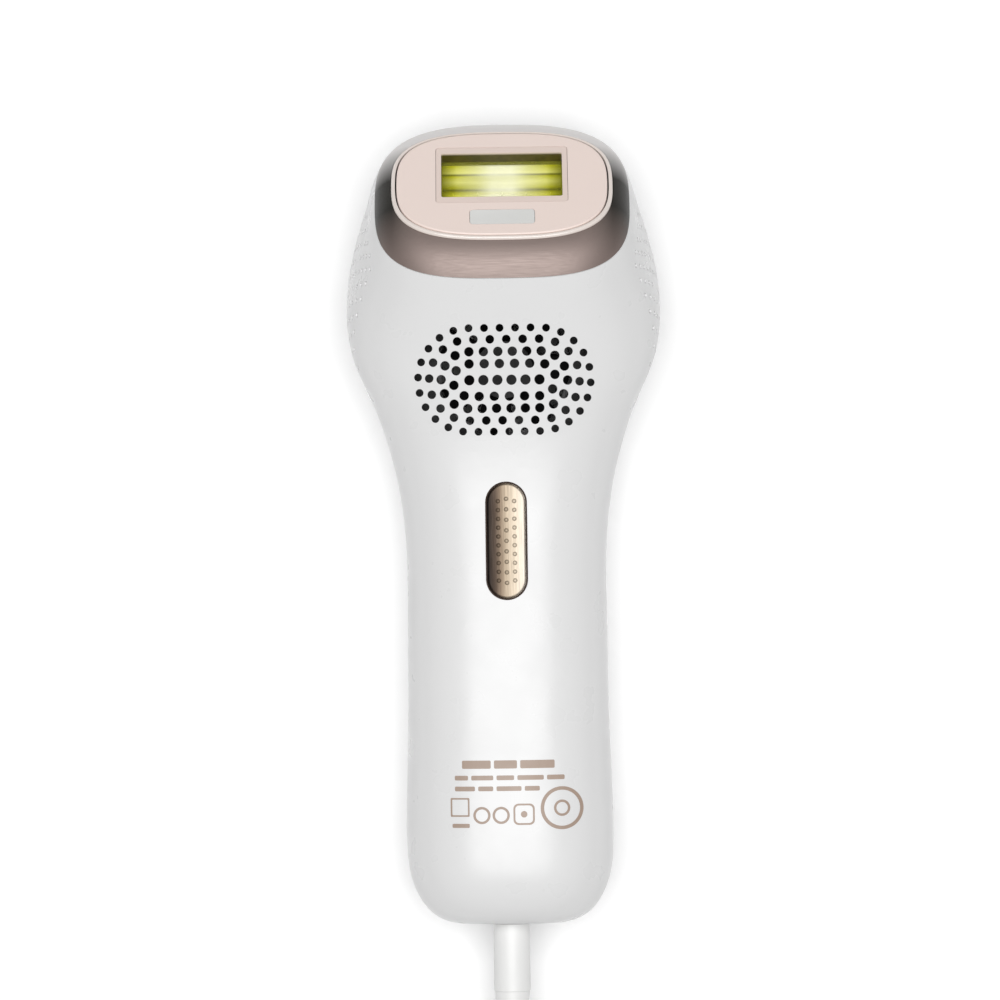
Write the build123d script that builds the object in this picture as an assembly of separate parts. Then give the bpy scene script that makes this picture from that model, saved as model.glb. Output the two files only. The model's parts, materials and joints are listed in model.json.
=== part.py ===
from build123d import *
import os
from math import cos, hypot, pi, radians, sin, sqrt

# A handheld IPL (intense pulsed light) hair remover lying on its back, with its plug-in power lead.
# Millimetres.  X runs across the device, +Y along the handle towards the head, +Z away from the
# surface it lies on.  While the parts are made, Y is 0 at the foot of the handle; at the end
# everything is moved so that the origin is at the middle of the device's footprint.

# ---------------------------------------------------------------- driving dimensions
WALL = 2.0                      # casing wall
PART_GAP = 0.12                 # line between the two casing halves
AXIS_Z = 20.0                   # height of the handle's centreline
FOOT_ROUND = 20.0               # length of the rounded foot of the handle
FOOT_HALF_W, FOOT_HALF_D = 12.5, 8.0        # flat end of the foot
FOOT_POWER = 2.2
HANDLE_POWER = 2.5              # corner exponent of the handle's cross-section
HEAD_POWER = 3.2                # the same at the bezel's lower half
BROW_POWER = 2.75               # and at its upper half, towards the tip
NECK_Y = 96.0                   # where the handle starts to open out into the head

TILT = 40.0                     # how far the treatment face leans towards the tip
FACE_Y, FACE_Z = 176.8, 39.6    # centre of the joint between casing and bezel
FACE_HALF_W, FACE_HALF_H = 31.0, 25.4
RING_H = 5.5                    # height of the bezel ring above the casing, along the face's normal
LIP_H = 6.2                     # height of the lip above that joint, along the face's normal
LIP_HALF_W, LIP_HALF_H = 26.9, 17.8
PLATE_HALF_W, PLATE_HALF_H = 25.6, 16.7
PLATE_TOP, PLATE_T = 6.4, 2.2
PLATE_POWER = 2.9
GROOVE = 0.35                   # groove between plate and lip

WINDOW_U = 2.9                  # window centre, up the face from its middle
WINDOW_W, WINDOW_H = 29.4, 14.5
FRAME_W, FRAME_H = 31.9, 18.2
RECESS = 3.2                    # glass below the face
SENSOR_U = -11.0
SENSOR_W, SENSOR_H = 15.6, 4.7

VENT_Y = 133.2                  # centre of the front vents
VENT_HALF_RUN = 8.51            # straight half-length of the vent rings
# (ring radius, holes, hole diameter, side that the ring starts on)
VENT_RINGS = [(12.47, 30, 1.9, 1), (9.76, 24, 2.1, -1), (6.84, 22, 2.3, 1), (3.93, 16, 2.3, 1)]
VENT_ROW = (6, 2.5)             # holes and diameter of the middle row
SIDE_VENT_D = 1.15

BUTTON_Y = 94.1                 # flash button
SLOT_W, SLOT_L = 10.2, 28.9
BEZEL_T = 0.35                  # width of the ring round the button
BUTTON_W, BUTTON_L = 8.9, 27.6
BUTTON_TRAVEL = 0.8
BUMP_D = 1.1

POWER_Y = 84.0                  # power and level button on the back
POWER_D = 11.0
POWER_TRAVEL = 0.6
LED_Y = 101.0
BACK_BOARD_Z = 10.6

BOARD_Z, BOARD_T = 25.6, 1.6    # main circuit board
FAN = 35.0                      # square cooling fan
FAN_T, FAN_Z, FAN_Y = 10.0, 22.0, 136.0
FAN_BORE = 33.0

JACK_Z = 20.1                   # power socket in the foot
BARREL_D, PLUG_D, PLUG_L = 5.5, 9.05, 16.8
RELIEF_L = 25.0
CORD_D = 4.2
COIL_R = 23.5                   # mean radius of the put-away cord: nine turns in two layers
COIL_LIFT = 0.5                 # thickness of the tie strap that runs under the coil
COIL_Y = -131.0                 # middle of the coil

ADAPTER_W, ADAPTER_L, ADAPTER_H = 44.0, 74.0, 30.0
ADAPTER_Y = -246.0              # middle of the adapter
PRONG_D, PRONG_L, PRONG_PITCH = 4.0, 19.0, 19.0
PRONG_ROOT_D, PRONG_ROOT_H = 3.6, 0.5       # thinner part held in the case, and how far it shows

face_plane = Plane(
    origin=(0, FACE_Y, FACE_Z),
    x_dir=(1, 0, 0),
    z_dir=(0, sin(radians(TILT)), cos(radians(TILT))),
)
SEAM = 42.0                     # where outlines start, away from holes and from the parting line
nodes = {}


# ---------------------------------------------------------------- helpers
def superellipse(half_w, half_h, power, upper_power=None, count=48):
    """A face with a smooth squared-off oval outline, in the XY plane. Every outline is divided
    alike, so that a loft between two of them stays light. The upper half may be rounder."""
    points = []
    for k in range(count):
        a = radians(SEAM) + 2 * pi * k / count
        n = upper_power if upper_power and sin(a) > 0 else power
        r = (abs(cos(a) / half_w) ** n + abs(sin(a) / half_h) ** n) ** (-1 / n)
        points.append((r * cos(a), r * sin(a)))
    evenly = [k / count for k in range(count + 1)]
    return make_face(Edge.make_spline(points, periodic=True, parameters=evenly))


def bezier(points, t):
    """A point on a cubic curve in the YZ plane."""
    s = 1 - t
    weights = (s ** 3, 3 * s * s * t, 3 * s * t * t, t ** 3)
    return tuple(sum(w * p[i] for w, p in zip(weights, points)) for i in range(2))


def box(w, d, h, x=0.0, y=0.0, z=0.0):
    """A box by its middle in X and Y and its lowest Z."""
    return Pos(x, y, z + h / 2) * Box(w, d, h)


def rod(diameter, low, high, x=0.0, y=0.0):
    """An upright cylinder between two heights."""
    return Pos(x, y, (low + high) / 2) * Cylinder(diameter / 2, high - low)


def tube(outer, inner, low, high, x=0.0, y=0.0):
    return rod(outer, low, high, x, y) - rod(inner, low - 1, high + 1, x, y)


def along_y(shape, x=0.0, y=0.0, z=0.0):
    """Turns a shape made along Z so that it runs along +Y from (x, y, z)."""
    return Pos(x, y, z) * Rot(-90, 0, 0) * shape


def stadium(w, length, low, high, x=0.0, y=0.0):
    """A round-ended bar, long in Y, between two heights."""
    return Pos(x, y, low) * Rot(0, 0, 90) * extrude(SlotOverall(length, w), high - low)


def on_face(shape):
    """Places a shape made in the treatment face's own axes: x, up the face, out of the face."""
    return face_plane.location * shape


def keep(name, shape):
    nodes[name] = shape


# ---------------------------------------------------------------- casing
FRONT_LINE = [(NECK_Y, 38.0), (120.0, 38.0), (140.0, 47.5), (157.3, 55.9)]
BACK_LINE = [(NECK_Y, 2.0), (142.0, -1.6), (188.0, -6.6), (196.3, 23.2)]
HEAD_HALF_W = [24.9, 26.6, 29.6, 33.6, 37.7, 38.3, 36.1, 33.5, FACE_HALF_W]
# (Y, half-width, Z of the back) of the straight part of the handle
HANDLE_RIBS = [(FOOT_ROUND, 25.5, -0.5), (45.0, 24.9, 0.9), (70.0, 24.6, 2.1)]
FRONT_Z = 38.0


def rib(front, back, half_w, power, inset, upper_power=None):
    """One cross-section of the casing, between a point on the front line and one on the back."""
    dy, dz = front[0] - back[0], front[1] - back[1]
    depth = hypot(dy, dz)
    middle = ((front[0] + back[0]) / 2, (front[1] + back[1]) / 2)
    plane = Plane(
        origin=(0, *middle),
        x_dir=(1, 0, 0),
        z_dir=(0, dz / depth, -dy / depth),
    )
    return plane * superellipse(half_w - inset, depth / 2 - inset, power, upper_power)


def casing(inset):
    """The casing's outer form, or the space inside it when inset by the wall."""
    ribs = []
    first_y, first_w, first_back = HANDLE_RIBS[0]
    for k in range(5):
        d = FOOT_ROUND * (1 - cos(radians(90 * k / 5)))
        swell = (1 - (1 - d / FOOT_ROUND) ** FOOT_POWER) ** (1 / FOOT_POWER)
        half_w = FOOT_HALF_W + (first_w - FOOT_HALF_W) * swell
        full_d = (FRONT_Z - first_back) / 2
        half_d = FOOT_HALF_D + (full_d - FOOT_HALF_D) * swell
        mid_z = AXIS_Z + ((FRONT_Z + first_back) / 2 - AXIS_Z) * swell
        y = inset + d * (FOOT_ROUND - inset) / FOOT_ROUND
        ribs.append(rib((y, mid_z + half_d), (y, mid_z - half_d), half_w, HANDLE_POWER, inset))
    for y, half_w, back_z in HANDLE_RIBS:
        ribs.append(rib((y, FRONT_Z), (y, back_z), half_w, HANDLE_POWER, inset))
    last = len(HEAD_HALF_W) - 1
    for k, half_w in enumerate(HEAD_HALF_W):
        t = k / last
        power = HANDLE_POWER + (HEAD_POWER - HANDLE_POWER) * t
        brow = HANDLE_POWER + (BROW_POWER - HANDLE_POWER) * t
        ribs.append(rib(bezier(FRONT_LINE, t), bezier(BACK_LINE, t), half_w, power, inset, brow))
    return loft(ribs)


def hollow(outside, inside):
    """The wall between two closed forms that end in one plane at the head, open there."""
    skins = []
    ends = []
    for form in (outside, inside):
        skin, *caps = form.faces().sort_by(SortBy.AREA, reverse=True)
        foot, mouth = sorted(caps, key=lambda face: face.center().Y)
        skins += [skin, foot]
        ends.append(mouth.outer_wire())
    return Solid(Shell([*skins, Face(ends[0], [ends[1]])]))


whole = casing(0.0)
inner = casing(WALL)
below_floor = box(200, 400, 50, y=100, z=-50)
outer = whole - below_floor

PARTING = [(NECK_Y, AXIS_Z), (130.0, 23.0), (158.0, 30.0), (176.0, 36.6)]
parting = Spline(*PARTING, tangents=((1, 0), (0.9, 0.42)))
parting += Polyline(PARTING[-1], (215, 54.8), (215, 120), (-20, 120), (-20, AXIS_Z), PARTING[0])
front_side = extrude(Plane.YZ * make_face(parting), 60, both=True)
shell = hollow(whole, inner) - below_floor

SCREWS = [(x * side, y) for x, y in ((15.5, 13.0), (20.5, 106.0), (30.0, 148.0)) for side in (-1, 1)]
SCREW_TOP = 22.0
SCREW_SEAT = 12.0
BOSS_D = 6.4
BOSS_SPLIT = 18.0


def vent_places():
    """Centres and diameters of the front vents: four stadium rings round a middle row."""
    places = []
    for r, count, d, side in VENT_RINGS:
        straight = 2 * VENT_HALF_RUN
        bend = pi * r
        for k in range(count):
            s = k * (2 * straight + 2 * bend) / count
            if s < straight:
                x, y = -VENT_HALF_RUN + s, r
            elif s < straight + bend:
                a = (s - straight) / r
                x, y = VENT_HALF_RUN + r * sin(a), r * cos(a)
            elif s < 2 * straight + bend:
                x, y = VENT_HALF_RUN - (s - straight - bend), -r
            else:
                a = (s - 2 * straight - bend) / r
                x, y = -VENT_HALF_RUN - r * sin(a), -r * cos(a)
            places.append((x, VENT_Y + side * y, d))
    count, d = VENT_ROW
    for k in range(count):
        places.append((VENT_HALF_RUN * (2 * k / (count - 1) - 1), VENT_Y, d))
    return places


def parting_z(y):
    """Height of the line between the casing halves."""
    for (y0, z0), (y1, z1) in zip(PARTING, PARTING[1:]):
        if y <= y1:
            return z0 + (z1 - z0) * (y - y0) / (y1 - y0)
    return PARTING[-1][1]


def side_vent_places():
    """(Y, Z, half-width) of the side vents, staggered rows that follow the head's ribs."""
    places = []
    rows, columns = 14, 5
    last = len(HEAD_HALF_W) - 1
    for i in range(rows):
        t = 0.50 + 0.40 * i / (rows - 1)
        front, back = bezier(FRONT_LINE, t), bezier(BACK_LINE, t)
        k = min(int(t * last), last - 1)
        half_w = HEAD_HALF_W[k] + (HEAD_HALF_W[k + 1] - HEAD_HALF_W[k]) * (t * last - k)
        for j in range(columns):
            v = 0.50 - 0.16 * (j + 0.5 * (i % 2))
            y = (front[0] + back[0]) / 2 + v * (front[0] - back[0]) / 2
            z = (front[1] + back[1]) / 2 + v * (front[1] - back[1]) / 2
            places.append((y, z, half_w))
    return places


front_vents = [Solid.make_cylinder(d / 2, 40, Plane((x, y, 30))) for x, y, d in vent_places()]
upper_vents = []
lower_vents = []
for vent_y, vent_z, half_w in side_vent_places():
    above = vent_z - parting_z(vent_y)
    if abs(above) < SIDE_VENT_D:
        continue
    for side in (-1, 1):
        start = Plane(origin=(side * (half_w - 10), vent_y, vent_z), z_dir=(side, 0, 0))
        (upper_vents if above > 0 else lower_vents).append(
            Solid.make_cylinder(SIDE_VENT_D / 2, 16, start)
        )

jack_hole = along_y(Cylinder(4.1, 8), 0, 1, JACK_Z)
slot = stadium(SLOT_W, SLOT_L, 30, 50, y=BUTTON_Y)


def bosses(low, high):
    return [rod(BOSS_D, low, high, x, y) for x, y in SCREWS]


def posts(diameter, low, high, half_x, ys):
    return [rod(diameter, low, high, x, y) for x in (-half_x, half_x) for y in ys]


BOARD_POSTS = posts(3.6, BOARD_Z + BOARD_T, 70, 14.2, (26.0, 84.0))
BACK_POSTS = posts(4.0, -5, BACK_BOARD_Z, 9.5, (76.0, 108.0))
front_shell = (shell & front_side) + ((Part() + bosses(BOSS_SPLIT + PART_GAP, 70) + BOARD_POSTS) & inner)
front_shell -= [rod(2.2, 0, SCREW_TOP + 2, x, y) for x, y in SCREWS]
front_shell -= slot
front_shell -= jack_hole
front_shell -= front_vents
front_shell -= upper_vents

cradles = [box(30, 2.0, 14.4, y=y) - along_y(Cylinder(9.0, 8), 0, y, 14.4) for y in (30.0, 60.0)]
rear_shell = shell - Pos(0, 0, -PART_GAP) * front_side
rear_shell += (Part() + bosses(-5, BOSS_SPLIT) + BACK_POSTS + cradles) & inner
rear_shell -= [rod(3.0, -2, BOSS_SPLIT + 2, x, y) for x, y in SCREWS]
rear_shell -= [rod(5.6, -2, SCREW_SEAT, x, y) for x, y in SCREWS]
rear_shell -= jack_hole
rear_shell -= rod(POWER_D + 0.7, -2, 6, 0, POWER_Y)
LED_XS = [-8.0, -4.0, 0.0, 4.0, 8.0]
rear_shell -= [rod(2.2, -2, 8, x, LED_Y) for x in LED_XS]
rear_shell -= lower_vents
keep("front_shell", front_shell)
keep("rear_shell", rear_shell)

# ---------------------------------------------------------------- screws and their covers
screws = []
covers = []
for x, y in SCREWS:
    screw = rod(5.0, SCREW_SEAT - 2.0, SCREW_SEAT, x, y) + rod(2.2, SCREW_SEAT, SCREW_TOP, x, y)
    screws.append(screw - rod(2.0, SCREW_SEAT - 3, SCREW_SEAT - 1, x, y))
    covers.append(rod(5.4, -1, SCREW_SEAT - 2.2, x, y) & outer)
keep("housing_screws", Compound(children=screws))
keep("screw_covers", Compound(children=covers))


# ---------------------------------------------------------------- bezel, lip and treatment plate
def oval(half_w, half_h, height, power=HEAD_POWER, upper_power=None):
    return Pos(0, 0, height) * superellipse(half_w, half_h, power, upper_power)


def oval_block(half_w, half_h, low, high, power=HEAD_POWER, upper_power=None):
    return Pos(0, 0, low) * extrude(superellipse(half_w, half_h, power, upper_power), high - low)


bezel_outside = loft([
    oval(FACE_HALF_W, FACE_HALF_H, 0.25, HEAD_POWER, BROW_POWER),
    oval(30.0, 22.9, 2.8, 3.1, 2.8),
    oval(LIP_HALF_W + 0.3, LIP_HALF_H + 0.3, RING_H, PLATE_POWER),
])
bezel_inside = loft([
    oval(FACE_HALF_W - 1.8, FACE_HALF_H - 2.0, -0.5, HEAD_POWER, BROW_POWER),
    oval(27.6, 20.2, 2.6, 3.1, 2.8),
    oval(25.8, 18.0, 3.4, PLATE_POWER),
])
bezel = bezel_outside - bezel_inside
skirt_gap, skirt_wall = 0.2, 1.4
skirt_out = WALL + skirt_gap
skirt_in = skirt_out + skirt_wall
brow = (HEAD_POWER, BROW_POWER)
skirt = oval_block(FACE_HALF_W - skirt_out, FACE_HALF_H - skirt_out, -2.5, 1.0, *brow)
skirt -= oval_block(FACE_HALF_W - skirt_in, FACE_HALF_H - skirt_in, -3.0, 1.5, *brow)
bezel += skirt
bezel -= oval_block(23.4, 14.7, -3, 8, PLATE_POWER)
bezel -= oval_block(PLATE_HALF_W + GROOVE, PLATE_HALF_H + GROOVE, PLATE_TOP - PLATE_T, 9, PLATE_POWER)
# room for the corners of the lamp housing, inside the skirt
bezel -= box(52.6, 20.0, 3.6, 0, WINDOW_U, -3)
keep("head_bezel", on_face(bezel))

lip = loft([
    oval(LIP_HALF_W, LIP_HALF_H, RING_H, PLATE_POWER),
    oval(LIP_HALF_W - 0.05, LIP_HALF_H - 0.05, RING_H + 0.3, PLATE_POWER),
    oval(LIP_HALF_W - 0.2, LIP_HALF_H - 0.2, LIP_H - 0.15, PLATE_POWER),
    oval(LIP_HALF_W - 0.5, LIP_HALF_H - 0.5, LIP_H, PLATE_POWER),
])
lip -= oval_block(PLATE_HALF_W + GROOVE, PLATE_HALF_H + GROOVE, 4, 9, PLATE_POWER)
keep("plate_frame", on_face(lip))


def rounded(w, h, radius, low, high, u=0.0):
    """A bar with rounded corners, standing on the face."""
    return Pos(0, u, low) * extrude(RectangleRounded(w, h, radius), high - low)


plate = oval_block(PLATE_HALF_W, PLATE_HALF_H, PLATE_TOP - PLATE_T, PLATE_TOP, PLATE_POWER)
plate = fillet(plate.edges().group_by(Axis.Z)[-1], 0.35)
plate -= rounded(FRAME_W + 0.2, FRAME_H + 0.2, 0.9, 3, 8, WINDOW_U)
plate -= rounded(SENSOR_W + 0.2, SENSOR_H + 0.2, 0.9, 3, 8, SENSOR_U)
keep("treatment_plate", on_face(plate))

frame_low = 1.0
window_frame = rounded(FRAME_W, FRAME_H, 0.8, frame_low, PLATE_TOP - 0.05, WINDOW_U)
window_frame -= rounded(WINDOW_W, WINDOW_H, 0.5, 0, 9, WINDOW_U)
window_frame -= rounded(WINDOW_W + 1.4, WINDOW_H + 1.4, 0.5, 0, PLATE_TOP - RECESS, WINDOW_U)
keep("window_frame", on_face(window_frame))
glass_top = PLATE_TOP - RECESS - 0.02
glass_low = glass_top - 1.6
glass = rounded(WINDOW_W + 1.2, WINDOW_H + 1.2, 0.4, glass_low, glass_top, WINDOW_U)
keep("filter_glass", on_face(glass))

sensor_low = PLATE_TOP - 2.0
sensor_window = rounded(SENSOR_W, SENSOR_H, 0.8, sensor_low, PLATE_TOP - 0.05, SENSOR_U)
keep("skin_sensor_window", on_face(sensor_window))
sensor_board = rounded(20, 8, 0.6, 1.2, 2.2, SENSOR_U)
keep("skin_sensor_board", on_face(sensor_board))
keep("skin_sensor_leds", on_face(Compound(children=[
    box(w, 1.8, 0.9, x, SENSOR_U, 2.2) for x, w in ((-5.0, 1.8), (0.0, 2.6), (5.0, 1.8))
])))

# ---------------------------------------------------------------- lamp
LAMP_H = -4.2                   # lamp axis below the bezel joint
LAMP_D, LAMP_L = 5.0, 44.0
mouth_h = glass_low - 0.2
REFLECTOR_L = 29.0


def trough(grow):
    """The reflector's section across the lamp, wider by grow on every side."""
    mouth, floor, depth = WINDOW_H / 2 + 0.2 + grow, 3.4 + grow, -9.0 - grow
    side = Spline((mouth, mouth_h), (6.4 + grow, LAMP_H + 0.5), (floor, depth))
    other = Spline((-floor, depth), (-6.4 - grow, LAMP_H + 0.5), (-mouth, mouth_h))
    bottom = Line((floor, depth), (-floor, depth))
    opening = Line((-mouth, mouth_h), (mouth, mouth_h))
    return make_face(side + bottom + other + opening)


def along_lamp(section, half_length):
    """A section drawn across the lamp, drawn out along it."""
    return Pos(0, WINDOW_U, 0) * extrude(Plane.YZ * section, half_length, both=True)


def lamp_rod(diameter, x0, x1):
    return Pos((x0 + x1) / 2, WINDOW_U, LAMP_H) * Rot(0, 90, 0) * Cylinder(diameter / 2, x1 - x0)


REFLECTOR_WALL = 0.4
reflector = along_lamp(trough(REFLECTOR_WALL), REFLECTOR_L / 2 + REFLECTOR_WALL)
reflector -= along_lamp(trough(0.0), REFLECTOR_L / 2)
reflector -= lamp_rod(LAMP_D + 0.6, -LAMP_L, LAMP_L)
reflector -= rounded(60, 30, 1, mouth_h - 0.01, 9, WINDOW_U)
keep("lamp_reflector", on_face(reflector))

flash_lamp = lamp_rod(LAMP_D, -LAMP_L / 2, LAMP_L / 2)
flash_lamp -= lamp_rod(LAMP_D - 1.4, -LAMP_L / 2 - 1, LAMP_L / 2 + 1)
keep("flash_lamp", on_face(flash_lamp))
electrodes = []
for side in (-1, 1):
    tip = lamp_rod(2.6, 15.0, 17.5)
    stem = lamp_rod(1.4, 17.5, LAMP_L / 2)
    cap = lamp_rod(LAMP_D, LAMP_L / 2, LAMP_L / 2 + 1.6)
    pin = lamp_rod(1.2, LAMP_L / 2 + 1.6, LAMP_L / 2 + 4.5)
    one = tip + stem + cap + pin
    electrodes.append(one if side > 0 else mirror(one, Plane.YZ))
keep("lamp_electrodes", on_face(Compound(children=electrodes)))

holders = []
for side in (-1, 1):
    block = box(4.0, 9.0, 8.6, side * 18.2, WINDOW_U, LAMP_H - 4.3)
    holders.append(block - lamp_rod(LAMP_D, -LAMP_L, LAMP_L))
keep("lamp_holders", on_face(Compound(children=holders)))

loops = [
    Pos(x, WINDOW_U, LAMP_H) * Rot(0, 90, 0) * Torus(LAMP_D / 2 + 0.22, 0.2) for x in (-12, -6, 0, 6, 12)
]
spine = Pos(0, WINDOW_U, LAMP_H - LAMP_D / 2 - 0.22) * Rot(0, 90, 0) * Cylinder(0.2, 28)
keep("trigger_wire", on_face(Part() + loops + spine))

HOUSING_LOW = -12.5
housing = box(52, 19.4, 0.4 - HOUSING_LOW, 0, WINDOW_U, HOUSING_LOW)
housing -= box(49, 16.8, 30, 0, WINDOW_U, HOUSING_LOW + 1.5)
housing -= [lamp_rod(3.0, 22, 40), lamp_rod(3.0, -40, -22)]
keep("lamp_housing", on_face(housing))

sink = box(44, 17, 2.2, 0, WINDOW_U, HOUSING_LOW - 2.2)
sink += [box(1.2, 17, 7.2, x, WINDOW_U, HOUSING_LOW - 9.2) for x in range(-21, 22, 6)]
keep("heat_sink", on_face(sink))

# ---------------------------------------------------------------- fan
fan_low, fan_high = FAN_Z, FAN_Z + FAN_T
corner = FAN / 2 - 2.4
fan_housing = Pos(0, FAN_Y, fan_low) * extrude(RectangleRounded(FAN, FAN, 2.4), FAN_T)
fan_housing -= rod(FAN_BORE, fan_low - 1, fan_high + 1, 0, FAN_Y)
hub_plate = rod(14.0, fan_low, fan_low + 1.2, 0, FAN_Y)
strut = Pos(FAN_BORE / 4 + 2, 0, 0) * Box(FAN_BORE / 2, 2.0, 1.2)
struts = Part() + [
    Pos(0, FAN_Y, fan_low + 0.6) * Rot(0, 0, 30 + 120 * k) * strut for k in range(3)
]
fan_housing += (hub_plate + struts) & rod(FAN_BORE + 0.6, fan_low - 1, fan_high, 0, FAN_Y)
corner_ys = (FAN_Y - corner, FAN_Y + corner)
fan_housing -= posts(2.6, fan_low - 1, fan_high + 1, corner, corner_ys)
keep("fan_housing", fan_housing)

SHAFT_D = 2.0
stator = tube(9.6, SHAFT_D + 0.1, fan_low + 1.2, fan_high - 2.6, 0, FAN_Y)
keep("fan_stator", stator)
rotor = rod(14.0, fan_low + 1.7, fan_high - 1.0, 0, FAN_Y) - rod(12.0, fan_low, fan_high - 2.2, 0, FAN_Y)
rotor += rod(SHAFT_D, fan_low + 1.6, fan_high - 1.0, 0, FAN_Y)
blade_r = FAN_BORE / 2 - 0.6
for k in range(7):
    blade = Pos(blade_r / 2 + 3.2, 0, fan_low + 5.3) * Rot(38, 0, 0) * Box(blade_r - 6.4, 8.6, 0.8)
    rotor += (Pos(0, FAN_Y, 0) * Rot(0, 0, 360 * k / 7) * blade) & tube(
        2 * blade_r, 13.0, fan_low + 1.7, fan_high - 1.0, 0, FAN_Y
    )
keep("fan_rotor", rotor)

bracket = box(39, 39, 1.4, 0, FAN_Y, fan_low - 1.5) - rod(31, 0, 40, 0, FAN_Y)
legs = Part() + posts(4.0, -3, fan_low - 1.0, 17.3, (FAN_Y - 17.3, FAN_Y + 17.3))
keep("fan_bracket", (bracket + legs) & inner)


def vent_oval(grow, low, high):
    """A block with the outline of the front vents, wider by grow on every side."""
    reach = VENT_RINGS[0][0] + grow
    outline = SlotOverall(2 * (VENT_HALF_RUN + reach), 2 * reach)
    return Pos(0, VENT_Y, low) * extrude(outline, high - low)


duct = vent_oval(3.2, fan_high + 0.2, 60) - vent_oval(2.0, fan_high + 1.4, 70)
duct -= rod(FAN_BORE, 0, 60, 0, FAN_Y)
keep("fan_duct", duct & inner)

# ---------------------------------------------------------------- flash button
shell_top = FRONT_Z
bezel_ring = stadium(SLOT_W, SLOT_L, 35.8, shell_top + 0.15, y=BUTTON_Y)
bezel_ring -= stadium(SLOT_W - 2 * BEZEL_T, SLOT_L - 2 * BEZEL_T, 30, 50, y=BUTTON_Y)
keep("button_surround", bezel_ring)

dome_r = 26.0
cap = stadium(BUTTON_W, BUTTON_L, 35.4, shell_top + 0.9, y=BUTTON_Y)
crown_z = shell_top + 0.9 - dome_r
crown = Pos(0, BUTTON_Y, crown_z) * Rot(90, 0, 0) * Cylinder(dome_r, BUTTON_L + 10)
button = cap & crown
button = fillet(button.edges().filter_by(lambda e: e.center().Z > shell_top + 0.2), 0.3)
button += stadium(11.6, 30.2, 34.2, 35.4, y=BUTTON_Y)
button += rod(3.2, 32.2, 34.2, 0, BUTTON_Y)


def bump_places():
    """Three columns of grip bumps: ten at each side, nine in the middle."""
    places = []
    for column, x in enumerate((-1.95, 0.0, 1.95)):
        count = 9 if column == 1 else 10
        pitch = 2.56 if column == 1 else 2.15
        for k in range(count):
            places.append((x, BUTTON_Y + (k - (count - 1) / 2) * pitch))
    return places


for x, y in bump_places():
    surface = crown_z + sqrt(dome_r ** 2 - x * x)
    button += Pos(x, y, surface - 0.45) * Sphere(0.72)
keep("flash_button", button)

board_top = BOARD_Z + BOARD_T
flash_switch = box(7, 7, 3.6, 0, BUTTON_Y, board_top) - rod(3.7, board_top + 1.2, 50, 0, BUTTON_Y)
keep("flash_switch", flash_switch)
keep("flash_switch_plunger", rod(3.0, board_top + 2.4, 32.2, 0, BUTTON_Y))

# ---------------------------------------------------------------- power button, light pipes, back board
power_face = 1.55
flange_low, flange_high = 4.95, 5.75
power_button = rod(POWER_D, power_face, flange_low, 0, POWER_Y)
power_button = fillet(power_button.edges().group_by(Axis.Z)[0], 0.4)
power_button += rod(13.4, flange_low, flange_high, 0, POWER_Y)
keep("power_button", power_button)
keep("power_switch_plunger", rod(3.0, flange_high, 8.4, 0, POWER_Y))
power_switch = box(6, 6, 3.4, 0, POWER_Y, BACK_BOARD_Z - 3.4)
power_switch -= rod(3.7, 0, BACK_BOARD_Z - 1.0, 0, POWER_Y)
keep("power_switch", power_switch)
keep("indicator_board", box(24, 38, 1.2, 0, 92, BACK_BOARD_Z))
leds = [box(1.6, 1.6, 1.0, x, LED_Y, BACK_BOARD_Z - 1.0) for x in LED_XS]
keep("indicator_leds", Compound(children=leds))
pipes = [rod(2.0, 0, BACK_BOARD_Z - 1.3, x, LED_Y) & outer for x in LED_XS]
keep("indicator_light_pipes", Compound(children=pipes))

# ---------------------------------------------------------------- main board and what is on it
board = box(34, 86, BOARD_T, 0, 62, BOARD_Z) + box(20, 12, BOARD_T, 0, 13, BOARD_Z)
keep("control_board", board)
capacitor = along_y(Cylinder(8.9, 42), 0, 45, 14.5)
capacitor = fillet(capacitor.edges(), 0.8)
keep("main_capacitor", capacitor)
flyback = box(13, 14, 6.5, -5.5, 34, board_top) - box(8, 20, 1.8, -5.5, 34, board_top + 2.4)
keep("flyback_transformer", flyback)
keep("trigger_coil", Pos(9, 34, board_top + 3.6) * Rot(90, 0, 0) * Cylinder(3.5, 13))
keep("input_capacitor", Pos(-8, 56, board_top + 4.0) * Rot(90, 0, 0) * Cylinder(4.0, 13))
chips = [
    box(9, 9, 1.4, 6, 54, board_top),
    box(5, 6, 1.2, 8, 70, board_top),
    box(4, 5, 1.2, -8, 72, board_top),
]
keep("board_chips", Compound(children=chips))


def wire(diameter, points, bend):
    """A lead clipped inside the casing: straight runs with rounded bends."""
    path = FilletPolyline(*points, radius=bend)
    start = Plane(origin=points[0], z_dir=Vector(*points[1]) - Vector(*points[0]))
    return sweep(start * Circle(diameter / 2), path=path)


LAMP_LEAD = [
    (28.4, 176.3, 34.5), (30.5, 168.0, 24.0), (25.0, 158.0, 17.0), (24.2, 140.0, 15.0),
    (24.0, 121.0, 16.0), (15.0, 106.0, 21.0), (11.0, 99.0, 24.7),
]
lamp_lead = wire(1.6, LAMP_LEAD, 3.0)
keep("lamp_leads", Compound(children=[lamp_lead, mirror(lamp_lead, Plane.YZ)]))
keep("fan_lead", wire(1.4, [(-8.0, 118.0, 25.0), (-7.6, 112.5, 23.6), (-6.0, 103.0, 24.8)], 2.0))
capacitor_lead = wire(0.9, [(4.0, 66.1, 14.5), (4.0, 71.5, 14.9), (4.0, 72.5, BOARD_Z)], 2.0)
keep("capacitor_leads", Compound(children=[capacitor_lead, mirror(capacitor_lead, Plane.YZ)]))
keep("board_ribbon", box(10, 0.5, BOARD_Z - BACK_BOARD_Z - 1.2, 0, 104, BACK_BOARD_Z + 1.2))

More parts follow.
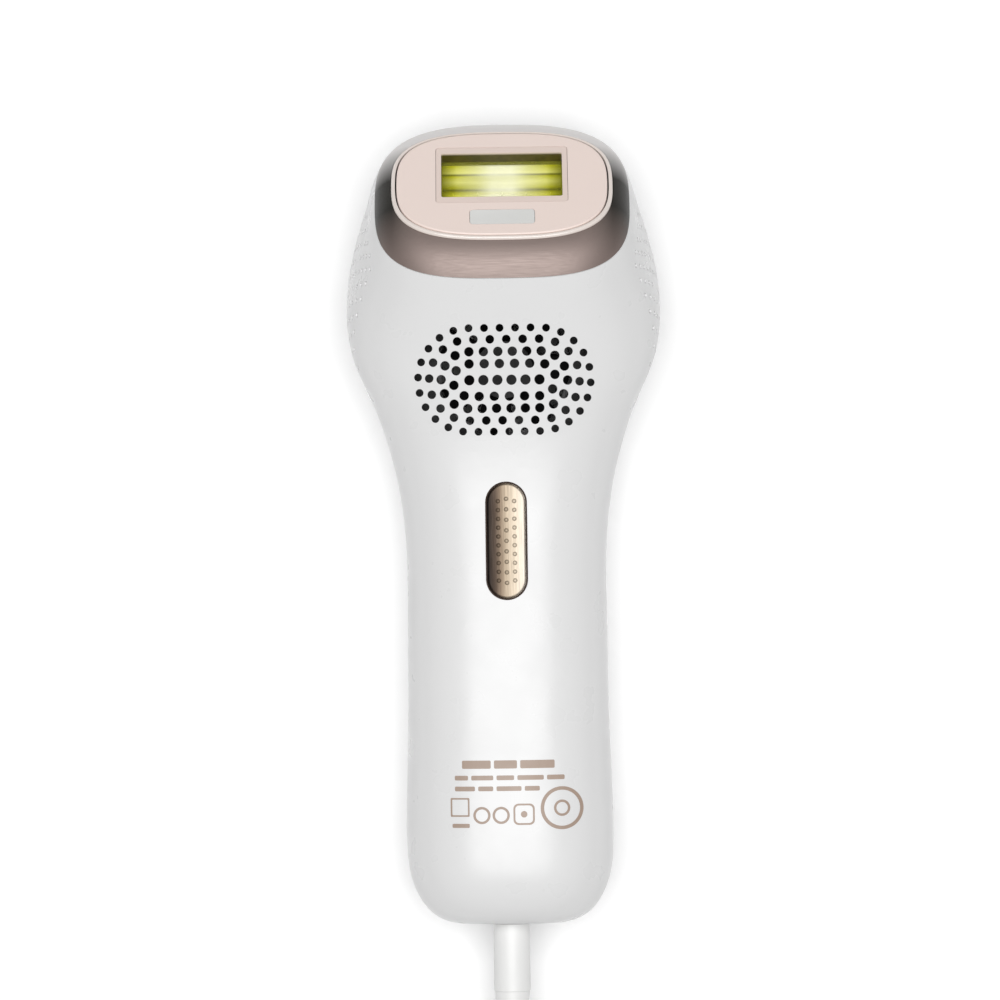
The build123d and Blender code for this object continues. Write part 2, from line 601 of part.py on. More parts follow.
# ---------------------------------------------------------------- power socket and plug
JACK_BORE = 5.64
jack = box(9, 14, 11, 0, 9.3, JACK_Z - 5.5) + along_y(Cylinder(3.9, 1.9), 0, 1.4, JACK_Z)
jack -= along_y(Cylinder(JACK_BORE / 2, 12), 0, 6.0, JACK_Z)
jack += along_y(Cylinder(0.97, 11.4), 0, 7.0, JACK_Z)
keep("power_socket", jack)

PLUG_GAP = 0.35
barrel_l = 10.0
barrel_y = barrel_l / 2 - PLUG_GAP
barrel = along_y(Cylinder(BARREL_D / 2, barrel_l), 0, barrel_y, JACK_Z)
barrel -= along_y(Cylinder(1.05, 14), 0, barrel_y, JACK_Z)
keep("plug_barrel", barrel)
plug = along_y(Cone(PLUG_D / 2, PLUG_D / 2 - 0.1, PLUG_L), 0, -PLUG_GAP - PLUG_L / 2, JACK_Z)
plug = fillet(plug.edges(), 0.3)
keep("plug_body", plug)


def relief(length, root_d, tip_d, grooves):
    """A tapered strain relief along +Z with grooves cut round it, starting at its thick end."""
    sleeve = Pos(0, 0, length / 2) * Cone(root_d / 2, tip_d / 2, length)
    pitch = (length - 6) / grooves
    for k in range(grooves):
        z = 3.2 + k * pitch
        at = root_d / 2 + (tip_d - root_d) / 2 * z / length
        sleeve -= Pos(0, 0, z) * (Cylinder(at + 1, 1.1) - Cylinder(at - 0.75, 2))
    return sleeve


relief_start = -PLUG_GAP - PLUG_L
plug_relief = Pos(0, relief_start, JACK_Z) * Rot(90, 0, 0) * relief(RELIEF_L, 8.6, CORD_D + 1.0, 7)
keep("plug_strain_relief", plug_relief)

# ---------------------------------------------------------------- cord, coil and tie
CORD_START = relief_start - RELIEF_L
low_layer = COIL_LIFT + CORD_D / 2
high_layer = low_layer + CORD_D
ADAPTER_X, ADAPTER_RELIEF_L, ADAPTER_CORD_Z = 16.0, 22.0, 12.0
adapter_end = ADAPTER_Y + ADAPTER_L / 2
adapter_mouth = adapter_end + ADAPTER_RELIEF_L
LEAD_IN = [
    (0.0, CORD_START, JACK_Z), (0.0, CORD_START - 12, JACK_Z), (2.0, CORD_START - 23, 15.4),
    (6.4, CORD_START - 33, 8.6), (13.6, CORD_START - 41, 4.0), (24.0, CORD_START - 48, low_layer),
    (31.5, CORD_START - 59, low_layer), (33.0, CORD_START - 74, low_layer),
]
LEAD_OUT = [
    (33.0, COIL_Y - 1, high_layer), (33.2, COIL_Y - 12, 6.2), (32.0, COIL_Y - 23, 3.4),
    (28.0, COIL_Y - 31, 3.0), (21.0, COIL_Y - 38, 5.5), (ADAPTER_X, COIL_Y - 46, ADAPTER_CORD_Z),
    (ADAPTER_X, adapter_mouth, ADAPTER_CORD_Z),
]


def cord_tube(name, points):
    """A stretch of cord as straight runs joined by tangent arcs; prints its radii and volume."""
    spots = [Vector(*p) for p in points]
    radii = []
    for a, b, c in zip(spots, spots[1:], spots[2:]):
        half_turn = radians((b - a).get_angle(c - b)) / 2
        shorter = min((b - a).length, (c - b).length)
        radii.append(0.45 * shorter * cos(half_turn) / sin(half_turn))
    line = FilletPolyline(*points, radius=radii)
    solid = sweep(Plane(origin=spots[0], z_dir=spots[1] - spots[0]) * Circle(CORD_D / 2), path=line)
    fill = solid.volume / (pi * CORD_D ** 2 / 4 * line.length)
    print(name, "radii", [round(r, 1) for r in radii])
    print("length", round(line.length, 1), "fill", round(fill, 4))
    return solid


keep("cord_lead_in", cord_tube("lead in", LEAD_IN))
keep("cord_lead_out", cord_tube("lead out", LEAD_OUT))
coil_half = 2.75 * CORD_D       # half the width of the ring of turns
coil_top = COIL_LIFT + 2 * CORD_D
coil = tube(2 * (COIL_R + coil_half), 2 * (COIL_R - coil_half), COIL_LIFT, coil_top, 0, COIL_Y)
keep("cord_coil", fillet(coil.edges(), 1.6))
tie = box(2 * coil_half + 1.0, 6.0, coil_top + 0.5, -COIL_R, COIL_Y, 0)
tie -= box(2 * coil_half, 8.0, coil_top - COIL_LIFT, -COIL_R, COIL_Y, COIL_LIFT)
keep("cord_tie", tie)

# ---------------------------------------------------------------- wall adapter
ADAPTER_SPLIT = 17.0
skin = 2.0


def adapter_block(inset, low, high):
    outline = RectangleRounded(ADAPTER_W - 2 * inset, ADAPTER_L - 2 * inset, 6.0 - inset)
    return Pos(ADAPTER_X, ADAPTER_Y, low) * extrude(outline, high - low)


case = adapter_block(0, 0, ADAPTER_SPLIT)
case = fillet(case.edges().group_by(Axis.Z)[0], 2.0)
case -= adapter_block(skin, skin, 40)
case -= along_y(Cylinder(2.4, 8), ADAPTER_X, adapter_end, ADAPTER_CORD_Z)
keep("adapter_case", case)
cover = adapter_block(0, ADAPTER_SPLIT + PART_GAP, ADAPTER_H)
cover = fillet(cover.edges().group_by(Axis.Z)[-1], 2.0)
cover -= adapter_block(skin, 0, ADAPTER_H - skin)
PRONG_Y = ADAPTER_Y - 16.0
prong_xs = [ADAPTER_X - PRONG_PITCH / 2, ADAPTER_X + PRONG_PITCH / 2]
cover -= [rod(PRONG_ROOT_D, 20, 50, x, PRONG_Y) for x in prong_xs]
keep("adapter_cover", cover)
prongs = []
for x in prong_xs:
    pin = rod(PRONG_D, ADAPTER_H + PRONG_ROOT_H, ADAPTER_H + PRONG_L, x, PRONG_Y)
    pin = fillet(pin.edges().group_by(Axis.Z)[-1], 1.2)
    prongs.append(pin + rod(PRONG_ROOT_D, ADAPTER_H - 5, ADAPTER_H + PRONG_ROOT_H, x, PRONG_Y))
keep("adapter_prongs", Compound(children=prongs))
keep("adapter_board", box(38, 66, 1.6, ADAPTER_X, ADAPTER_Y, 5.0))
core_y = ADAPTER_Y + 4
core = box(20, 18, 14, ADAPTER_X, core_y, 6.6) - box(12, 30, 3, ADAPTER_X, core_y, 12)
keep("adapter_transformer", core)
adapter_relief = relief(ADAPTER_RELIEF_L, 8.6, CORD_D + 1.0, 6)
keep("adapter_strain_relief", along_y(adapter_relief, ADAPTER_X, adapter_end, ADAPTER_CORD_Z))

# ---------------------------------------------------------------- files
device = ("front_shell", "rear_shell", "head_bezel")
extents = [nodes[name].bounding_box(optimal=True) for name in device]
middle_y = (min(e.min.Y for e in extents) + max(e.max.Y for e in extents)) / 2
shift = Pos(0, -middle_y, 0)
print("middle of the device at Y", round(middle_y, 4))
os.makedirs("parts", exist_ok=True)
for name, shape in nodes.items():
    export_step(shift * shape, f"parts/{name}.step")
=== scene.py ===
"""The looks of a handheld IPL hair remover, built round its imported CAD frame.

Metres, in the CAD's own frame: X across, +Y towards the head, +Z up from the table.
"""

import json
from math import cos, pi, radians, sin

import bmesh
import bpy
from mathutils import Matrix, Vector
from mathutils.bvhtree import BVHTree


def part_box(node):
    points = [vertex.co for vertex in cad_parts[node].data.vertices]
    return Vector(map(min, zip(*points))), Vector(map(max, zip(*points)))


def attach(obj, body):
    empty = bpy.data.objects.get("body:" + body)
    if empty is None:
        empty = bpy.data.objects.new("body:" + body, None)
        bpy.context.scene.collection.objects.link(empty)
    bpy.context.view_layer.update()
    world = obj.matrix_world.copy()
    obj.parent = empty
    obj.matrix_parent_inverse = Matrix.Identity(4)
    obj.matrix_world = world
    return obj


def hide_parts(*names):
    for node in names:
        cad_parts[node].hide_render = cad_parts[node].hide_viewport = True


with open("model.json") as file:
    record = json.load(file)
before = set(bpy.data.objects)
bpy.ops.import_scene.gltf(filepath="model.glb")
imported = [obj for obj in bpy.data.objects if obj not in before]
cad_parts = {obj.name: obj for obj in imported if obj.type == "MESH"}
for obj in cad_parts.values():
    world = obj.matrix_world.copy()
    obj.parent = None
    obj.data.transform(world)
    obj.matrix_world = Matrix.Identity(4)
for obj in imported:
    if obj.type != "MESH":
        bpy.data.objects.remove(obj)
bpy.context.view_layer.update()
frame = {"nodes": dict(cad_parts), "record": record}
nodes = frame["nodes"]
MM = 0.001


# ------------------------------------------------------------------ places worked out from the frame
PLUG_GAP = 0.35                                      # millimetres between the plug and the handle
FOOT_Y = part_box("plug_body")[1].y + PLUG_GAP * MM    # the foot of the handle
JACK_Z = (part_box("plug_body")[0].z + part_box("plug_body")[1].z) / 2
TILT = radians(40)                                   # lean of the treatment face
FACE_NORMAL = Vector((0, sin(TILT), cos(TILT)))
FACE_UP = Vector((0, cos(TILT), -sin(TILT)))


def link(obj):
    bpy.context.scene.collection.objects.link(obj)
    return obj


def at(x, y, z):
    """A point given in millimetres from the foot of the handle."""
    return Vector((x * MM, FOOT_Y + y * MM, z * MM))


FACE_MIDDLE = at(0, 176.8, 39.6)


# ------------------------------------------------------------------ camera
LENS_MM, SENSOR_MM = 201.6, 36.0
HANDLE_MID_Z = 20 * MM
CAMERA_HEIGHT = 1.383
VIEW_MIDDLE_Y = 104.07                               # what the picture's middle looks at, from the foot
VIEW_MIDDLE_X = -1.46
ROLL = radians(-0.77)
NEAREST, FARTHEST = 0.05, 20                         # what the camera can see, metres away

camera_data = bpy.data.cameras.new("camera")
camera_data.sensor_width = SENSOR_MM
camera_data.lens = LENS_MM
camera_data.clip_start, camera_data.clip_end = NEAREST, FARTHEST
camera = bpy.data.objects.new("camera", camera_data)
camera.location = at(VIEW_MIDDLE_X, VIEW_MIDDLE_Y, (HANDLE_MID_Z + CAMERA_HEIGHT) / MM)
camera.rotation_euler = (0, 0, ROLL)
link(camera)
bpy.context.scene.camera = camera
bpy.context.scene.view_settings.view_transform = "Standard"


# ------------------------------------------------------------------ material helpers
class Paint:
    """A material being built: its node tree with short calls for the usual textures."""

    def __init__(self, name, colour, roughness, metallic=0.0):
        self.material = bpy.data.materials.new(name)
        self.material.use_nodes = True
        self.tree = self.material.node_tree
        self.shader = self.tree.nodes["Principled BSDF"]
        self.set("Base Color", (*colour, 1))
        self.set("Roughness", roughness)
        self.set("Metallic", metallic)

    def set(self, socket, value):
        self.shader.inputs[socket].default_value = value

    def node(self, kind, **values):
        made = self.tree.nodes.new(kind)
        for key, value in values.items():
            setattr(made, key, value)
        return made

    def wire(self, out, into):
        self.tree.links.new(out, into)

    def coords(self, stretch=(1, 1, 1), turn=(0, 0, 0)):
        place = self.node("ShaderNodeTexCoord")
        mapping = self.node("ShaderNodeMapping")
        mapping.inputs["Scale"].default_value = stretch
        mapping.inputs["Rotation"].default_value = turn
        self.wire(place.outputs["Object"], mapping.inputs["Vector"])
        return mapping.outputs["Vector"]

    def noise(self, scale, detail=3.0, stretch=(1, 1, 1)):
        texture = self.node("ShaderNodeTexNoise")
        texture.inputs["Scale"].default_value = scale
        texture.inputs["Detail"].default_value = detail
        self.wire(self.coords(stretch), texture.inputs["Vector"])
        return texture.outputs["Fac"]

    def in_face(self, axis, low, high):
        """0 to 1 between two places, in millimetres, along one of the treatment face's axes:
        X across, Y up the face, Z out of it."""
        split = self.node("ShaderNodeSeparateXYZ")
        self.wire(self.coords(turn=(TILT, 0, 0)), split.inputs["Vector"])
        zero = {"X": 0, "Y": FACE_MIDDLE.dot(FACE_UP), "Z": FACE_MIDDLE.dot(FACE_NORMAL)}[axis]
        return self.ranged(split.outputs[axis], zero + low * MM, zero + high * MM, 0, 1)

    def along(self, axis, low, high):
        """0 to 1 along an axis of the shared frame, between two places in metres."""
        split = self.node("ShaderNodeSeparateXYZ")
        self.wire(self.coords(), split.inputs["Vector"])
        return self.ranged(split.outputs[axis], low, high, 0, 1)

    def ranged(self, value, low, high, to_low, to_high):
        remap = self.node("ShaderNodeMapRange")
        limits = {"From Min": low, "From Max": high, "To Min": to_low, "To Max": to_high}
        for socket, number in limits.items():
            remap.inputs[socket].default_value = number
        self.wire(value, remap.inputs["Value"])
        return remap.outputs["Result"]

    def ramp(self, fac, stops):
        ramp = self.node("ShaderNodeValToRGB")
        points = ramp.color_ramp.elements
        while len(points) < len(stops):
            points.new(0.5)
        for point, (place, colour) in zip(points, stops):
            point.position = place
            point.color = (*colour, 1)
        self.wire(fac, ramp.inputs["Fac"])
        return ramp.outputs["Color"]

    def mix(self, fac, a, b, blend="MIX"):
        mix = self.node("ShaderNodeMix", data_type="RGBA", blend_type=blend)
        for name, value in (("Factor", fac), ("A", a), ("B", b)):
            socket = mix.inputs[name]
            if isinstance(value, tuple):
                socket.default_value = (*value, 1)
            elif isinstance(value, (float, int)):
                socket.default_value = value
            else:
                self.wire(value, socket)
        return mix.outputs["Result"]

    def colour(self, out):
        self.wire(out, self.shader.inputs["Base Color"])
        return self

    def roughness(self, fac, low, high):
        self.wire(self.ranged(fac, 0.3, 0.7, low, high), self.shader.inputs["Roughness"])
        return self

    def bump(self, height, strength, distance):
        bump = self.node("ShaderNodeBump")
        bump.inputs["Strength"].default_value = strength
        bump.inputs["Distance"].default_value = distance
        self.wire(height, bump.inputs["Height"])
        last = self.shader.inputs["Normal"]
        if last.links:
            self.wire(last.links[0].from_socket, bump.inputs["Normal"])
        self.wire(bump.outputs["Normal"], last)
        return self


def paint(node, material):
    """Gives a CAD node, by name, its material."""
    slots = nodes[node].data.materials
    slots.clear()
    slots.append(material)


# ------------------------------------------------------------------ materials
MOTTLE, GLOSS, DRAWN, STREAK, RIPPLE = 38, 120, 160, 200, 90  # noise scales, from broad to fine
GLASS_IOR = 1.46


def moulded(name, colour, roughness, shift, grain, depth, coat=0.0):
    """Moulded plastic: faint mottling, uneven gloss and a fine surface grain."""
    p = Paint(name, colour, roughness)
    p.set("Coat Weight", coat)
    p.set("Coat Roughness", 0.06)
    broad = p.noise(MOTTLE, 4)
    darker = tuple(c * (1 - shift) for c in colour)
    p.colour(p.ramp(broad, [(0.32, darker), (0.68, colour)]))
    p.roughness(p.noise(GLOSS, 3), roughness * 0.85, roughness * 1.2)
    p.bump(p.noise(grain, 2), 0.1, depth * MM)
    return p.material


def brushed(name, colour, roughness, stretch, shift=0.10):
    """Metal with fine drawn lines across the stretched axis."""
    p = Paint(name, colour, roughness, metallic=1.0)
    lines = p.noise(DRAWN, 3, stretch)
    darker = tuple(c * (1 - shift) for c in colour)
    p.colour(p.ramp(lines, [(0.3, darker), (0.7, colour)]))
    p.roughness(lines, roughness * 0.8, roughness * 1.25)
    p.bump(lines, 0.2, 0.01 * MM)
    return p.material


def clear(name, colour, roughness):
    """Clear or tinted glass with faint streaks."""
    p = Paint(name, colour, roughness)
    p.set("Transmission Weight", 1.0)
    p.set("IOR", GLASS_IOR)
    p.roughness(p.noise(STREAK, 2), roughness, roughness + 0.05)
    p.bump(p.noise(RIPPLE, 2), 0.05, 0.02 * MM)
    return p.material


white = moulded("white_gloss", (0.765, 0.765, 0.765), 0.30, 0.006, 700, 0.001)
adapter_white = moulded("adapter_white", (0.86, 0.86, 0.85), 0.34, 0.02, 1400, 0.02)
dark = moulded("dark_plastic", (0.012, 0.012, 0.013), 0.5, 0.2, 1200, 0.03)
grey = moulded("grey_plastic", (0.32, 0.32, 0.33), 0.5, 0.1, 1200, 0.03)
soft_grey = moulded("rubber_grey", (0.62, 0.62, 0.62), 0.6, 0.05, 1500, 0.03)
blush = moulded("plate_blush", (0.88, 0.745, 0.685), 0.34, 0.012, 1300, 0.002)
lip_cream = moulded("lip_pearl", (0.82, 0.74, 0.69), 0.2, 0.01, 900, 0.002, coat=0.3)
sensor = moulded("sensor_diffuser", (0.80, 0.80, 0.78), 0.3, 0.12, 420, 0.002)
print_ink = moulded("print_rose", (0.40, 0.30, 0.24), 0.45, 0.08, 2500, 0.002)
cord_skin = moulded("cord_white", (0.84, 0.84, 0.83), 0.42, 0.03, 1600, 0.02)
tie_black = moulded("tie_black", (0.02, 0.02, 0.022), 0.6, 0.2, 900, 0.05)
red_wire = moulded("wire_silicone", (0.55, 0.03, 0.02), 0.5, 0.15, 900, 0.02)
steel = brushed("steel", (0.62, 0.62, 0.63), 0.25, (1, 40, 1))
aluminium = brushed("aluminium", (0.75, 0.76, 0.77), 0.35, (40, 1, 1))
copper = brushed("copper", (0.72, 0.33, 0.16), 0.35, (1, 1, 60), 0.25)
pipe = clear("light_pipe", (0.92, 0.95, 0.97), 0.25)
tube_glass = clear("lamp_glass", (0.98, 0.98, 0.93), 0.02)


def tinted_window():
    """Filter glass: mostly see-through, yellow, with a faint streak in its gloss."""
    p = Paint("window_glass", (0.72, 0.74, 0.08), 0.05)
    p.set("Alpha", 0.12)
    p.roughness(p.noise(STREAK, 2), 0.03, 0.08)
    p.bump(p.noise(RIPPLE, 2), 0.05, 0.02 * MM)
    return p.material


def satin_with_painted_shade(name, stops, roughness, half_width, metallic):
    """Plated metal with painted shade and a painted reflection: dark at one side of the object, bright
    at the other, with a fine drawn grain.
    """
    p = Paint(name, stops[0][1], roughness, metallic)
    lines = p.noise(DRAWN, 3, (30, 1, 1))
    # painted shade and painted reflection: the colour runs from dark at one side to bright at the other
    painted_light_colour = p.ramp(p.along("X", -half_width * MM, half_width * MM), stops)
    grain_shade = p.ramp(lines, [(0.3, (0.2, 0.2, 0.2)), (0.7, (0.9, 0.9, 0.9))])
    p.colour(p.mix(0.08, painted_light_colour, grain_shade, "OVERLAY"))
    p.roughness(lines, roughness * 0.85, roughness * 1.2)
    p.bump(lines, 0.15, 0.006 * MM)
    return p.material


# the button's dark side and bright side are painted shade and a painted reflection
gold = satin_with_painted_shade("button_gold", [
    (0.0, (0.02, 0.012, 0.008)), (0.18, (0.07, 0.045, 0.03)), (0.34, (0.22, 0.16, 0.11)),
    (0.5, (0.42, 0.34, 0.25)), (0.75, (0.62, 0.53, 0.42)), (1.0, (0.80, 0.72, 0.62)),
], 0.55, half_width=4.3, metallic=0.55)
# painted shade: the button's surround is coloured nearly black for the shade in its recess
dark_rim_painted_shade = brushed("rim_painted_shade", (0.016, 0.011, 0.009), 0.35, (30, 1, 1), 0.1)


BEZEL_HALF_W = 31
BEZEL_FRONT = (-20, -7)                              # up the face: all rose below, painted dark shade on the sides above
BEZEL_TOP = (2, 14)                                  # up the face: the pale painted reflection comes in


def bezel_plating():
    """Rose plating, with painted shade darkening the two sides and a pale painted reflection round the
    top of the ring.
    """
    # dark and mid are painted shade for the ring's sides
    dark, rose_tint, mid = (0.026, 0.024, 0.020), (0.27, 0.21, 0.19), (0.15, 0.125, 0.11)
    stops = [
        (0.0, dark), (0.07, dark), (0.12, mid), (0.18, rose_tint),
        (0.82, rose_tint), (0.88, mid), (0.93, dark), (1.0, dark),
    ]
    p = Paint("bezel_rose", rose_tint, 0.5, 0.45)
    lines = p.noise(DRAWN, 3, (1, 30, 30))
    # painted shade: the colour darkens towards both sides of the ring
    painted_light_colour = p.ramp(p.along("X", -BEZEL_HALF_W * MM, BEZEL_HALF_W * MM), stops)
    painted_light_colour = p.mix(p.in_face("Y", *BEZEL_FRONT), rose_tint, painted_light_colour)
    # painted reflection: pale grey comes in round the top of the ring
    painted_reflection_top = p.in_face("Y", *BEZEL_TOP)
    painted_light_colour = p.mix(painted_reflection_top, painted_light_colour, (0.72, 0.70, 0.69))
    grain_shade = p.ramp(lines, [(0.3, (0.3, 0.3, 0.3)), (0.7, (0.7, 0.7, 0.7))])
    p.colour(p.mix(0.04, painted_light_colour, grain_shade, "OVERLAY"))
    p.roughness(lines, 0.42, 0.55)
    p.bump(lines, 0.1, 0.003 * MM)
    return p.material


rose = bezel_plating()
window_glass = tinted_window()


def board_green():
    """Green solder mask with a fine pattern of tracks."""
    mask, track = (0.01, 0.12, 0.05), (0.03, 0.24, 0.10)
    p = Paint("circuit_board", mask, 0.4)
    tracks = p.node("ShaderNodeTexBrick")
    tracks.inputs["Scale"].default_value = 260
    tracks.inputs["Mortar Size"].default_value = 0.03
    p.wire(p.coords(), tracks.inputs["Vector"])
    p.colour(p.mix(tracks.outputs["Fac"], mask, track))
    p.bump(tracks.outputs["Fac"], 0.3, 0.03 * MM)
    return p.material


# painted light colours: olive for painted shadow bands and shaded ends, cream for painted highlight
# bands, pale for the painted highlight in the middle
OLIVE_SHADE, LIME, CREAM_HIGHLIGHT = (0.04, 0.034, 0.002), (0.50, 0.485, 0.004), (0.80, 0.78, 0.25)
PALE_HIGHLIGHT = (0.86, 0.86, 0.88)
LAMP_HALF_L = 16


def gold_with_painted_light(name, bands, low, high, axis, glow):
    """A yellow mirror with painted light: painted highlight and shadow bands across one axis, a painted
    highlight paler towards the lamp's middle, painted shade at the ends, and a glow of its own.
    """
    p = Paint(name, LIME, 0.25, 0.3)
    rows = p.ramp(p.in_face(axis, low, high), bands)
    across = p.in_face("X", -LAMP_HALF_L, LAMP_HALF_L)
    # painted highlight: paler towards the middle of the lamp's length
    middle = p.ramp(across, [
        (0.12, (0, 0, 0)), (0.30, (0.45, 0.45, 0.45)), (0.42, (0.95, 0.95, 0.95)),
        (0.58, (0.95, 0.95, 0.95)), (0.70, (0.45, 0.45, 0.45)), (0.88, (0, 0, 0)),
    ])
    shade, full = (0.45, 0.45, 0.3), (1, 1, 1)
    # painted shade: darker towards both ends of the lamp
    ends = p.ramp(across, [
        (0.0, OLIVE_SHADE), (0.07, shade), (0.16, full), (0.84, full), (0.93, shade), (1.0, OLIVE_SHADE),
    ])
    painted_pale_highlight = p.mix(middle, rows, p.mix(0.8, rows, PALE_HIGHLIGHT))
    streaks = p.ramp(p.noise(420, 3, (0.15, 1, 1)), [(0.3, (0.8, 0.8, 0.7)), (0.7, (1, 1, 1))])
    painted_light_colour = p.mix(1.0, p.mix(1.0, painted_pale_highlight, ends, "MULTIPLY"), streaks, "MULTIPLY")
    p.colour(painted_light_colour)
    # the painted light colour also glows, standing in for light on parts that are not lit
    p.wire(painted_light_colour, p.shader.inputs["Emission Color"])
    p.set("Emission Strength", glow)
    p.bump(p.noise(DRAWN, 2, (0.2, 1, 1)), 0.3, 0.05 * MM)
    return p.material


def frame_with_painted_shade():
    """The window's frame: the plate's colour on its face, with painted shade in dark olive down the
    sides of its opening.
    """
    face = (0.80, 0.67, 0.61)
    p = Paint("frame_blush", face, 0.3)
    outward = p.in_face("Z", 5.6, 6.25)
    # painted shade: mottled dark olive down the inner sides of the opening
    painted_shade_mottle = p.ramp(p.noise(500, 3), [(0.3, (0.045, 0.036, 0.008)), (0.7, (0.075, 0.06, 0.012))])
    p.colour(p.mix(outward, painted_shade_mottle, face))
    p.bump(p.noise(1300, 2), 0.25, 0.004 * MM)
    return p.material


green_board = board_green()
# painted light on the reflector: highlight and shadow bands, and a glow of its own
mirror_metal = gold_with_painted_light("reflector", [
    (0.0, LIME), (0.18, CREAM_HIGHLIGHT), (0.30, LIME), (0.36, OLIVE_SHADE), (0.42, LIME), (0.55, CREAM_HIGHLIGHT), (0.70, LIME),
    (0.75, OLIVE_SHADE), (0.80, CREAM_HIGHLIGHT), (1.0, LIME),
], -9, 1.4, "Z", 0.5)
# painted light on the flash lamp and its trigger wire: bands and a glow
lamp_painted_glow = gold_with_painted_light("lamp_painted_glow", [
    (0.0, LIME), (0.3, CREAM_HIGHLIGHT), (0.6, LIME), (0.85, LIME), (1.0, OLIVE_SHADE),
], 0.4, 5.4, "Y", 0.6)

FINISHES = {
    "white_gloss": white, "bezel_metal": rose, "lip_pearl": lip_cream, "plate_blush": blush,
    "window_glass": window_glass, "sensor_diffuser": sensor, "reflector": mirror_metal,
    "lamp_glass": tube_glass, "button_gold": gold, "dark_plastic": dark, "grey_plastic": grey,
    "steel": steel, "aluminium": aluminium, "circuit_board": green_board, "copper": copper,
    "wire_silicone": red_wire, "light_pipe": pipe, "cord_white": cord_skin, "rubber_grey": soft_grey,
}
for entry in frame["record"]["subparts"]:
    paint(entry["node"], FINISHES[entry["material_slot"]])
for name in ("adapter_case", "adapter_cover"):
    paint(name, adapter_white)
paint("cord_tie", tie_black)
paint("button_surround", dark_rim_painted_shade)
paint("window_frame", frame_with_painted_shade())
for name in ("flash_lamp", "trigger_wire"):
    paint(name, lamp_painted_glow)


# ------------------------------------------------------------------ printed marks on the handle
shell_mesh = nodes["front_shell"].data
shell_tree = BVHTree.FromPolygons(
    [v.co for v in shell_mesh.vertices], [tuple(f.vertices) for f in shell_mesh.polygons]
)


ABOVE_CASING = 80                                    # where the marks are drawn before they are laid
INK_LIFT = 0.04
MARKS_Y, MARKS_REACH = 32, 17                        # middle and half size of the marked patch


def printed(name, outlines):
    """Ink laid on the front of the casing: closed outlines in millimetres from the foot, each with
    the outline of its hole or None. They are cut every millimetre, so that they follow the curve."""
    mesh = bmesh.new()
    for outer, hole in outlines:
        count = len(outer)
        if hole:
            laid = [
                [mesh.verts.new(at(x, y, ABOVE_CASING)) for x, y in ring] for ring in (outer, hole)
            ]
            for k in range(count):
                n = (k + 1) % count
                mesh.faces.new((laid[0][k], laid[0][n], laid[1][n], laid[1][k]))
        else:
            mesh.faces.new([mesh.verts.new(at(x, y, ABOVE_CASING)) for x, y in outer])
    data = bpy.data.meshes.new(name)
    for axis in (Vector((1, 0, 0)), Vector((0, 1, 0))):
        for k in range(-MARKS_REACH, MARKS_REACH + 1):
            middle = at(0, MARKS_Y, 0) + axis * (k * MM)
            geometry = mesh.verts[:] + mesh.edges[:] + mesh.faces[:]
            bmesh.ops.bisect_plane(mesh, geom=geometry, plane_co=middle, plane_no=axis)
    for vert in mesh.verts:
        spot = shell_tree.ray_cast(vert.co, Vector((0, 0, -1)))[0]
        vert.co = spot + Vector((0, 0, INK_LIFT * MM))
    bmesh.ops.triangulate(mesh, faces=mesh.faces)
    mesh.normal_update()
    mesh.to_mesh(data)
    mesh.free()
    data.materials.append(print_ink)
    obj = link(bpy.data.objects.new(name, data))
    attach(obj, "root")


def soft_box(x, y, w, h, corner=0.25):
    """A rectangle with rounded corners, as points anticlockwise."""
    points = []
    for cx, cy, start in ((1, 1, 0), (-1, 1, 90), (-1, -1, 180), (1, -1, 270)):
        corner_x = x + cx * (w / 2 - corner)
        corner_y = y + cy * (h / 2 - corner)
        for k in range(5):
            a = radians(start + 22.5 * k)
            points.append((corner_x + corner * cos(a), corner_y + corner * sin(a)))
    return points


def loop(x, y, r, count=48):
    """A circle, as points anticlockwise."""
    angles = [2 * pi * k / count for k in range(count)]
    return [(x + r * cos(a), y + r * sin(a)) for a in angles]


DASH_GAP = 0.8


def dashes(y, x0, x1, height, widths):
    """A row of plain dashes between two ends, with widths in these proportions."""
    scale = (x1 - x0 - DASH_GAP * (len(widths) - 1)) / sum(widths)
    row, x = [], x0
    for w in widths:
        corner = min(height / 2.1, 0.3)
        row.append((soft_box(x + w * scale / 2, y, w * scale, height, corner), None))
        x += w * scale + DASH_GAP
    return row


printed("mark_lines", (
    dashes(39.6, -11.6, 11.0, 2.0, (5, 4, 6))
    + dashes(36.35, -13.4, 13.4, 1.15, (3, 5, 4, 6, 4))
    + dashes(33.7, -13.4, 7.3, 1.15, (4, 3, 5, 3))
))
printed("mark_shapes", [
    (soft_box(-12.2, 29.2, 4.6, 4.6), soft_box(-12.2, 29.2, 3.8, 3.8, 0.2)),
    (soft_box(-12.0, 24.7, 4.2, 1.0), None),
    (loop(-6.9, 27.2, 2.1), loop(-6.9, 27.2, 1.5)),
    (loop(-2.2, 27.2, 2.1), loop(-2.2, 27.2, 1.5)),
    (soft_box(3.4, 27.4, 5.2, 5.2, 1.2), soft_box(3.4, 27.4, 4.3, 4.3, 0.9)),
    (loop(3.4, 27.4, 0.8, 24), None),
    (loop(12.7, 28.8, 5.25, 72), loop(12.7, 28.8, 4.4, 72)),
    (loop(12.7, 28.8, 2.0), loop(12.7, 28.8, 1.4)),
])


# ------------------------------------------------------------------ cord
CORD_D = 4.2 * MM
PLUG_L, RELIEF_L = 16.8, 25.0
COIL_Y, COIL_OUTER_R = -131.0, 33.0                  # middle of the coil, and its outermost turn
LOW_LAYER, HIGH_LAYER = 2.6, 6.8                     # heights of the coil's two layers
ADAPTER_Y, ADAPTER_HALF_L, ADAPTER_RELIEF_L = -246.0, 37.0, 22.0
ADAPTER_X, ADAPTER_CORD_Z = 16.0, 12.0


